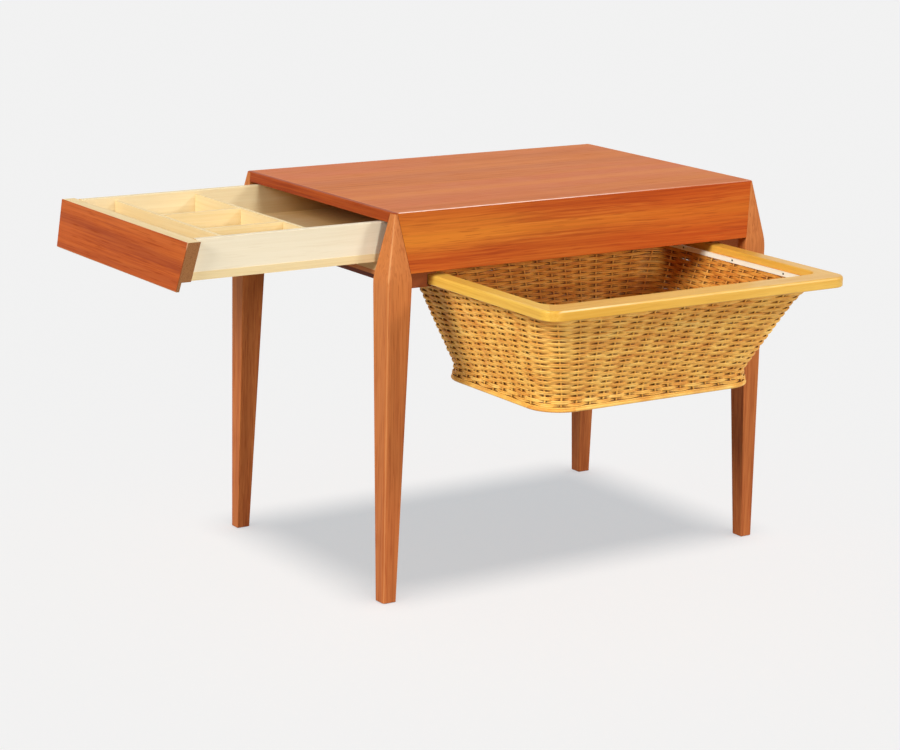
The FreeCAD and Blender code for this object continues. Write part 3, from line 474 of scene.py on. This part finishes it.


# painted highlight along the outer arris of each leg
legHighlight = {"wide": 0.0022, "share": 0.40, "colour": (0.86, 0.47, 0.20), "sameX": 0.0003, "sameZ": 0.0015}


def legLook(name):
    # painted highlight along the outer arris of a leg, which runs from foot to knee and from knee to top
    spots = [v.co for v in nodes[name].data.vertices]
    low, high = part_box(name)
    sideX, sideY = (min if "left" in name else max), (min if "front" in name else max)
    kneeX = low.x if "left" in name else high.x
    kneeY = low.y if "front" in name else high.y
    kneeZ = max(v.z for v in spots if abs(v.x - kneeX) < legHighlight["sameX"])
    edges = []
    for level, start, end in ((low.z, low.z, kneeZ), (high.z, kneeZ, high.z)):
        ring = [v for v in spots if abs(v.z - level) < legHighlight["sameZ"]]
        x, y = sideX(v.x for v in ring), sideY(v.y for v in ring)
        leanX, leanY = (kneeX - x) / (kneeZ - level), (kneeY - y) / (kneeZ - level)
        edges.append({
            "at": {"X": (x - leanX * level, leanX), "Y": (y - leanY * level, leanY)},
            "wide": legHighlight["wide"], "share": legHighlight["share"], "colour": legHighlight["colour"],
            "between": (start, end)})
    return dict(teakLeg, edges=edges)


# painted shade: the runners' teak is painted much darker, as they lie in shade under the apron
teakRunnerShade = dict(
    teakLeg, pale=(0.30, 0.070, 0.018), middle=(0.22, 0.046, 0.013), dark=(0.11, 0.022, 0.008), sweeps=[],
)
maplePale = dict(
    plainGrain, pale=(0.85, 0.76, 0.585), middle=(0.80, 0.70, 0.51), dark=(0.70, 0.57, 0.37),
    pore=(0.60, 0.44, 0.24), patch=(0.88, 0.78, 0.58), end=(0.62, 0.42, 0.20), rings=90, bandScale=40,
    ringShare=0.14, streakShare=0.25, bandShare=0.3, poreShare=0.10, roughness=0.45, patchShare=0.3,
)
mapleInner = dict(
    maplePale, pale=(0.85, 0.70, 0.42), middle=(0.80, 0.610, 0.31), dark=(0.68, 0.47, 0.20),
    patch=(0.81, 0.63, 0.34),
)
# painted shade: what stays under the top is painted darker golden brown, as the top shades it
shadeUnderTop = {
    "axis": "X", "from": topLow.x - 0.03, "to": topLow.x + 0.07,
    "share": 0.75, "colour": (0.50, 0.27, 0.060),
}
# a more golden copy of the pale maple for the drawer's back side: painted warm bounced light on its inner
# face
mapleBounceTint = dict(
    maplePale, pale=(0.84, 0.72, 0.47), middle=(0.79, 0.64, 0.38), dark=(0.69, 0.51, 0.25),
    patch=(0.80, 0.65, 0.39), sweeps=[shadeUnderTop],
)
plyPale = dict(
    mapleInner, middle=(0.82, 0.65, 0.36), end=(0.66, 0.46, 0.24), patchShare=0.5, streakShare=0.45,
    sweeps=[shadeUnderTop],
)
frontCore = dict(
    mapleInner, pale=(0.84, 0.66, 0.36), middle=(0.79, 0.57, 0.26), end=(0.33, 0.145, 0.052),
    pore=(0.15, 0.050, 0.016),
)
beechPlain = dict(
    maplePale, pale=(0.74, 0.50, 0.24), middle=(0.66, 0.40, 0.17), dark=(0.48, 0.25, 0.09),
    pore=(0.30, 0.13, 0.045), patch=(0.70, 0.45, 0.20), end=(0.42, 0.22, 0.08),
)
beechGold = dict(
    plainGrain, pale=(0.80, 0.47, 0.082), middle=(0.72, 0.365, 0.045), dark=(0.56, 0.230, 0.018),
    pore=(0.46, 0.17, 0.014), patch=(0.89, 0.57, 0.13), end=(0.46, 0.180, 0.030), rings=60, bandScale=50,
    ringShare=0.14, streakShare=0.3, bandShare=0.4, poreShare=0.16, roughness=0.34, patchShare=0.5,
    constants={
        "IOR": 1.5, "Specular IOR Level": 0.16,
        "Coat Weight": 0.10, "Coat Roughness": 0.18, "Coat IOR": 1.5,
    },
)
railLow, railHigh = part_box("frame_rail_front")
frameFront = dict(
    beechGold,
    # painted highlight along the front rail's top arris, fading to the right
    edges=[
        {"at": {"Y": railLow.y, "Z": railHigh.z}, "wide": 0.0026, "share": 0.6,
         "colour": (1.0, 0.86, 0.50), "fades": ("X", railLow.x + 0.05, railLow.x + 0.16)},
    ],
)
frameLeft = dict(beechGold, pale=(0.86, 0.56, 0.11), middle=(0.80, 0.460, 0.066), dark=(0.62, 0.290, 0.028))
lathPale = dict(
    maplePale, pale=(0.95, 0.91, 0.76), middle=(0.93, 0.88, 0.70), dark=(0.84, 0.75, 0.52),
    patch=(0.95, 0.90, 0.74),
)

# the way of the grain and the wood of every node
grains = {
    "top_panel": ("X", teakTop),
    "top_end_lipping": ("Y", teakEndBand),
    "apron_front": ("X", dict(teakApron, **apronOwn)),
    "apron_back": ("X", teakApron),
    "apron_right": ("Y", teakApron),
    "drawer_front_veneer": ("Y", teakFront),
    "leg_front_left": ("Z", legLook("leg_front_left")),
    "leg_front_right": ("Z", legLook("leg_front_right")),
    "leg_back_left": ("Z", legLook("leg_back_left")),
    "leg_back_right": ("Z", legLook("leg_back_right")),
    "drawer_rail_strip": ("Y", teakLeg),
    "basket_runner_left": ("Y", teakRunnerShade),
    "basket_runner_right": ("Y", teakRunnerShade),
    "drawer_side_front": ("X", maplePale),
    "drawer_side_back": ("X", mapleBounceTint),
    "drawer_back": ("Y", mapleInner),
    "cross_divider_front": ("Y", mapleInner),
    "cross_divider_rear": ("Y", mapleInner),
    "lengthwise_divider_back": ("X", mapleInner),
    "lengthwise_divider_front": ("X", mapleInner),
    "drawer_front": ("Y", frontCore),
    "drawer_bottom": ("X", plyPale),
    "drawer_rail": ("Y", beechPlain),
    "drawer_runner_front": ("X", beechPlain),
    "drawer_runner_back": ("X", beechPlain),
    "drawer_guide_front": ("X", beechPlain),
    "drawer_guide_back": ("X", beechPlain),
    "drawer_stops": ("X", beechPlain),
    "dowels": ("X", beechPlain),
    "frame_rail_front": ("X", frameFront),
    "frame_rail_back": ("X", beechGold),
    "frame_rail_left": ("Y", frameLeft),
    "frame_rail_right": ("Y", beechGold),
    "lath_front": ("X", lathPale),
    "lath_back": ("X", lathPale),
    "lath_left": ("Y", lathPale),
    "lath_right": ("Y", lathPale),
}
steels = {
    "lath_nails": {"colour": (0.05, 0.035, 0.025), "roughness": 0.5},
    "runner_screws": {"colour": (0.5, 0.45, 0.36), "roughness": 0.35},
}


def steelFinish(name, look):
    finish = Finish(name)
    worn = finish.noise(finish.place(), 900, 2.0)
    dull = tuple(part * 0.5 for part in look["colour"])
    tone = finish.blend(worn.step(0.4, 0.7) * 0.5, look["colour"], dull)
    return finish.surface(tone, look["roughness"] + worn * 0.2, worn, 0.00003, 0.3, {"Metallic": 1.0})


def dressNode(name, material):
    mesh = nodes[name].data
    mesh.materials.clear()
    mesh.materials.append(material)


def dressNodes():
    # every board is cut from its own place in the wood
    chooser = random.Random(4)
    for name, (grain, look) in grains.items():
        shift = tuple(round(chooser.uniform(-3, 3), 3) for _ in range(3))
        dressNode(name, woodFinish(name + "_wood", grain, dict(look, shift=shift)))
    for name, look in steels.items():
        dressNode(name, steelFinish(name + "_steel", look))


dressNodes()
print("wood and steel laid on the frame's nodes")


# the woven basket, row by row round its upright stakes

weave = {
    # the walls
    "wall": 0.0042,                  # thickness of the wall that the frame carries
    "footBack": 0.014,               # the foot lies further back than the rim
    "footShort": (0.0435, 0.0422),   # how far the foot is short of the rim, at the sides and across
    "heelDraw": 0.0018,              # the walls draw in from the foot to the heel
    "heel": 0.015, "shoulder": 0.024, "collar": 0.0056,
    "footCorner": 0.0399, "shoulderCorner": 0.0349, "rimCorner": 0.0179,
    # stakes
    "stakes": 52, "stakeRadius": 0.00155, "stakePoints": 17,
    "straight": 0.782,               # how evenly the stakes stand along the rim, 1 evenly
    # rows of two strands
    "rowPitch": 0.00385, "firstRow": 0.0040,
    "swing": 0.00195, "strandTall": 0.00275, "strandThick": 0.00195,
    "pull": (0.84, 1.12), "even": (0.95, 1.05), "sag": 0.00032, "lift": 0.0001, "wander": 0.00009,
    "calm": {"from": 0.003, "over": 0.005, "share": 0.48},    # rows lie flatter under the frame
    "steps": 6,                      # points of a strand from stake to stake
    "sides": 6,
    # thin splints packed between the rows
    "splintTall": 0.0019, "splintThick": 0.0007, "splintSteps": 3,
    # plain rods round the foot
    "footRow": {"rise": 0.0007, "out": 0.0016, "size": 0.0026, "steps": 4, "wander": 0.0002},
}
shellLow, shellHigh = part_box("basket_body")


def levelsOfWall():
    # height, half length, half width, corner and how far back, at the foot, heel, shoulder and rim
    w = weave
    rimX = (shellHigh.x - shellLow.x) / 2 - w["wall"] / 2
    rimY = (shellHigh.y - shellLow.y) / 2 - w["wall"] / 2
    footX, footY = rimX - w["footShort"][0], rimY - w["footShort"][1]
    foot, top = shellLow.z, shellHigh.z
    rim = top - w["collar"]
    heel, shoulder = foot + w["heel"], rim - w["shoulder"]
    heelX, heelY = footX - w["heelDraw"], footY - w["heelDraw"]
    share = (shoulder - heel) / (rim - heel)
    return [
        (foot, footX, footY, w["footCorner"], w["footBack"]),
        (heel, heelX, heelY, w["footCorner"], w["footBack"]),
        (shoulder, heelX + (rimX - heelX) * share, heelY + (rimY - heelY) * share,
         w["shoulderCorner"], w["footBack"] * (1 - share)),
        (rim, rimX, rimY, w["rimCorner"], 0.0),
        (top + 0.01, rimX, rimY, w["rimCorner"], 0.0),
    ]


wallLevels = levelsOfWall()
wallMiddle = (shellLow + shellHigh) / 2


def wallAt(height):
    for low, high in zip(wallLevels, wallLevels[1:]):
        if height <= high[0] or high is wallLevels[-1]:
            share = (height - low[0]) / (high[0] - low[0])
            halfX, halfY, corner, back = (a + (b - a) * share for a, b in zip(low[1:], high[1:]))
            return halfX, halfY, corner, back


def wallSpot(stake, height, out=0.0):
    # the place and the outward direction at a stake number, which may fall between two stakes
    halfX, halfY, corner, back = wallAt(height)
    up = (height - shellLow.z) / (shellHigh.z - shellLow.z)
    quarter, t = divmod(stake / weave["stakes"] * 4 % 4, 1)
    gathered = t - math.sin(2 * math.pi * t) / (2 * math.pi)
    spread = weave["straight"] * t + (1 - weave["straight"]) * gathered
    share = t + (spread - t) * up
    if quarter in (1, 3):
        share = 1 - share
    longX, longY, arc = halfX - corner, halfY - corner, corner * math.pi / 2
    s = share * (longX + arc + longY)
    if s < longX:
        x, y, nx, ny = s, -halfY, 0.0, -1.0
    elif s < longX + arc:
        angle = (s - longX) / corner
        nx, ny = math.sin(angle), -math.cos(angle)
        x, y = longX + corner * nx, -longY + corner * ny
    else:
        x, y, nx, ny = halfX, s - longX - arc - longY, 1.0, 0.0
    if quarter in (1, 2):
        y, ny = -y, -ny
    if quarter in (2, 3):
        x, nx = -x, -nx
    spot = Vector((wallMiddle.x + x + nx * out, wallMiddle.y + back + y + ny * out, height))
    return spot, Vector((nx, ny, 0.0))


def addStrand(b, spots, outs, tall, thick, sides, closed):
    # an oval strand along a row of spots, flat side to its outward direction
    rings = []
    count = len(spots)
    for i, (spot, out) in enumerate(zip(spots, outs)):
        before = spots[i - 1] if i or closed else spot
        after = spots[(i + 1) % count] if closed or i + 1 < count else spot
        ahead = (after - before).normalized()
        rise = ahead.cross(out).normalized()
        face = rise.cross(ahead).normalized()
        ring = []
        for k in range(sides):
            angle = 2 * math.pi * (k + 0.5) / sides
            outward, upward = thick / 2 * math.cos(angle), tall / 2 * math.sin(angle)
            ring.append(b.verts.new(spot + face * outward + rise * upward))
        rings.append(ring)
    for i in range(count if closed else count - 1):
        first, second = rings[i], rings[(i + 1) % count]
        for k in range(sides):
            after = (k + 1) % sides
            b.faces.new((first[k], first[after], second[after], second[k])).smooth = True
    if not closed:
        b.faces.new(rings[0][::-1])
        b.faces.new(rings[-1])


def ringOf(count, height, reaches):
    # places all the way round at one height, and how far each lies out of the wall's middle
    places = [wallSpot(i * weave["stakes"] / count, height, reaches[i]) for i in range(count)]
    return zip(*places)


def makeWalls(b, chooser):
    w = weave
    around = w["stakes"] * w["steps"]
    calm = w["calm"]
    calmFrom = wallLevels[3][0] - calm["from"]
    height = shellLow.z + w["firstRow"]
    row = 0
    while height < shellHigh.z - 0.001:
        flatter = 1 - calm["share"] * max(0.0, min(1.0, (height - calmFrom) / calm["over"]))
        pull = [chooser.uniform(*w["pull"]) for _ in range(w["stakes"])]
        sag = [chooser.uniform(-w["sag"], w["sag"]) for _ in range(w["stakes"])]
        for part in (-0.5, 0.5):
            lift = part * w["rowPitch"] / 2 + chooser.uniform(-w["lift"], w["lift"])
            drift = [chooser.uniform(-1, 1) for _ in range(6)]
            spots, outs = [], []
            for i in range(around):
                stake = i / w["steps"]
                swing = math.cos(math.pi * (stake + row)) * pull[round(stake) % w["stakes"]]
                whole, rest = divmod(stake, 1)
                slack = sag[int(whole)] * (1 - rest) + sag[int(whole + 1) % w["stakes"]] * rest
                angle = 2 * math.pi * i / around
                waves = sum(d * math.sin((k + 2) * 3 * angle + d * 9) for k, d in enumerate(drift))
                wander = waves * w["wander"]
                out = (w["swing"] + wander) * swing * flatter
                spot, facing = wallSpot(stake, height + lift + slack + wander * 1.4, out)
                spots.append(spot)
                outs.append(facing)
            tall = w["strandTall"] * chooser.uniform(*w["even"])
            addStrand(b, spots, outs, tall, w["strandThick"], w["sides"], True)
        row += 1
        height += w["rowPitch"]
    return row


def makeSplints(b):
    # in the middle of the wall, so that hardly any light comes through; their dark colour is painted shade
    # between the rows
    w = weave
    count = w["stakes"] * w["splintSteps"]
    height = shellLow.z + w["firstRow"] - w["rowPitch"] / 2
    while height < shellHigh.z - 0.0012:
        spots, outs = ringOf(count, height, [0.0] * count)
        addStrand(b, spots, outs, w["splintTall"], w["splintThick"], 4, True)
        height += w["rowPitch"]


def makeStakes(b):
    w = weave
    low, high = shellLow.z - 0.0005, shellHigh.z - 0.001
    last = w["stakePoints"] - 1
    for stake in range(w["stakes"]):
        places = [wallSpot(stake, low + (high - low) * i / last) for i in range(w["stakePoints"])]
        spots, outs = zip(*places)
        addStrand(b, spots, outs, w["stakeRadius"] * 2, w["stakeRadius"] * 2, 6, False)


def makeFootRows(b):
    # under the first woven row, outside and inside the stakes
    look = weave["footRow"]
    count = weave["stakes"] * look["steps"]
    for out in (look["out"], -look["out"]):
        reaches = [out + look["wander"] * math.sin(i * 0.9 + out * 9000) for i in range(count)]
        spots, outs = ringOf(count, shellLow.z + look["rise"], reaches)
        addStrand(b, spots, outs, look["size"], look["size"], 6, True)


bottom = {
    "inset": 0.0015, "rise": 0.0024,
    "sticks": 16, "stickSpread": 0.99, "stickThick": 0.0026, "stickShort": 0.001,
    "rowShort": 0.0005, "steps": 6, "swing": 0.0015, "wander": 0.0001,
    "rowTall": 1.06,                 # in row pitches
    "rowThick": 0.0016,
}


def makeBottom(b, chooser):
    # sticks across the bottom and rows woven through them
    look = bottom
    foot, footX, footY, corner, back = wallLevels[0]
    halfX, halfY = footX - look["inset"], footY - look["inset"]
    middle = Vector((wallMiddle.x, wallMiddle.y + back, foot + look["rise"]))
    pitch = 2 * halfX / look["sticks"]

    def reach(along, halfAlong, halfAcross):
        # half length of a row that lies this far from the middle
        over = abs(along) - (halfAlong - corner)
        return halfAcross if over <= 0 else halfAcross - corner + math.sqrt(max(corner ** 2 - over ** 2, 0))

    upward = Vector((0, 0, 1))
    each = look["sticks"] // 2
    for k in range(-each, each + 1):
        x = k * pitch * look["stickSpread"]
        half = reach(x, halfX, halfY) - look["stickShort"]
        spots = [middle + Vector((x, half * s, 0)) for s in (-1, -0.5, 0, 0.5, 1)]
        addStrand(b, spots, [upward] * 5, look["stickThick"], look["stickThick"], 6, False)
    rows = int(2 * halfY / weave["rowPitch"])
    for r in range(rows):
        y = -halfY + (r + 0.5) * 2 * halfY / rows
        half = reach(y, halfY, halfX) - look["rowShort"]
        count = max(int(2 * half / pitch * look["steps"]), 8)
        spots = []
        for i in range(count + 1):
            x = -half + 2 * half * i / count
            swing = math.cos(math.pi * (x / pitch + r)) * look["swing"]
            wander = chooser.uniform(-look["wander"], look["wander"])
            spots.append(middle + Vector((x, y + wander, swing)))
        tall = weave["rowPitch"] * look["rowTall"]
        addStrand(b, spots, [upward] * len(spots), tall, look["rowThick"], 6, False)


cane = {
    "pale": (0.98, 0.67, 0.20), "middle": (0.93, 0.515, 0.100), "dark": (0.70, 0.27, 0.038),
    # the crevice colour is painted shade
    "stain": (0.64, 0.23, 0.03), "creviceShade": (0.10, 0.020, 0.004),
    # painted shade for the inside of the walls
    "inside": (0.83, 0.67, 0.56),    # multiplies the colour, as the next does
    # painted shade: the splints are coloured dark brown, as the shade between the rows
    "splintShade": (0.34, 0.21, 0.14),
    "relief": 0.00012, "creviceReach": 0.006,
    "constants": {"IOR": 1.45, "Specular IOR Level": 0.30, "Coat Weight": 0.08, "Coat Roughness": 0.3},
}


def caneFinish(name, relief=1.0, shade=None):
    # golden strands, each of its own tone, with browner stretches and painted shade in the crevices
    finish = Finish(name)
    spot = finish.place()
    each = finish.make("ShaderNodeNewGeometry", output="Random Per Island")
    mottle = finish.noise(spot, 40, 3.0, 0.6)
    fibres = finish.noise(finish.scaled(spot, (0.22, 0.22, 3.2)), 560, 2.0, 0.6)
    stains = finish.noise(finish.scaled(spot, (1.0, 1.0, 2.4)), 24, 3.0, 0.65).step(0.50, 0.72)
    tone = (each * 0.40 + mottle.step(0.25, 0.75) * 0.45 + fibres.step(0.3, 0.7) * 0.3).clamp()
    ramp = finish.make("ShaderNodeValToRGB", {"stops": [
        (0.0, cane["pale"]), (0.5, cane["middle"]), (1.0, cane["dark"])]}, {0: tone})
    colour = finish.blend(stains * 0.5, ramp, cane["stain"])
    # painted shade: the inside of the walls is painted browner and darker, as it lies in shade under the
    # table
    middle = wallMiddle + Vector((0, weave["footBack"] / 2, 0))
    fromMiddle = finish.scaled(finish.moved(spot, tuple(-middle)), (1, 1, 0))
    turned = {0: fromMiddle, 1: finish.facing()}
    inward = finish.make("ShaderNodeVectorMath", {"operation": "DOT_PRODUCT"}, turned, 1)
    shadedInside = finish.blend(1.0, colour, cane["inside"], "MULTIPLY")
    colour = finish.blend(1 - inward.step(-0.04, 0.02), colour, shadedInside)
    if shade:
        colour = finish.blend(1.0, colour, shade, "MULTIPLY")
    # painted shade: where other strands lie close, the colour goes dark brown
    rays = {"samples": 8, "only_local": True}
    near = finish.make("ShaderNodeAmbientOcclusion", rays, {"Distance": cane["creviceReach"]}, 1)
    colour = finish.blend((1 - near.step(0.12, 0.66)) * 0.95, colour, cane["creviceShade"])
    rough = 0.42 + fibres * 0.2
    return finish.surface(
        colour, rough, fibres + mottle * 0.5, cane["relief"] * relief, 0.4, cane["constants"])


def makeBasket():
    chooser = random.Random(11)
    b = bmesh.new()
    rows = makeWalls(b, chooser)
    woven = len(b.faces)
    makeSplints(b)
    for face in list(b.faces)[woven:]:
        face.material_index = 1
    makeStakes(b)
    makeFootRows(b)
    makeBottom(b, chooser)
    mesh = bpy.data.meshes.new("woven_basket")
    bmesh.ops.recalc_face_normals(b, faces=b.faces)
    b.to_mesh(mesh)
    b.free()
    basket = bpy.data.objects.new("woven_basket", mesh)
    scene.collection.objects.link(basket)
    mesh.materials.append(caneFinish("cane_strands"))
    # the splints' material carries the painted shade between the rows
    mesh.materials.append(caneFinish("cane_splints", shade=cane["splintShade"]))
    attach(basket, "basket")
    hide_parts("basket_body")
    dressNode("basket_foot_rod", caneFinish("cane_foot_rod", 3.0))
    print("basket woven,", rows, "rows,", len(mesh.vertices), "points")


makeBasket()
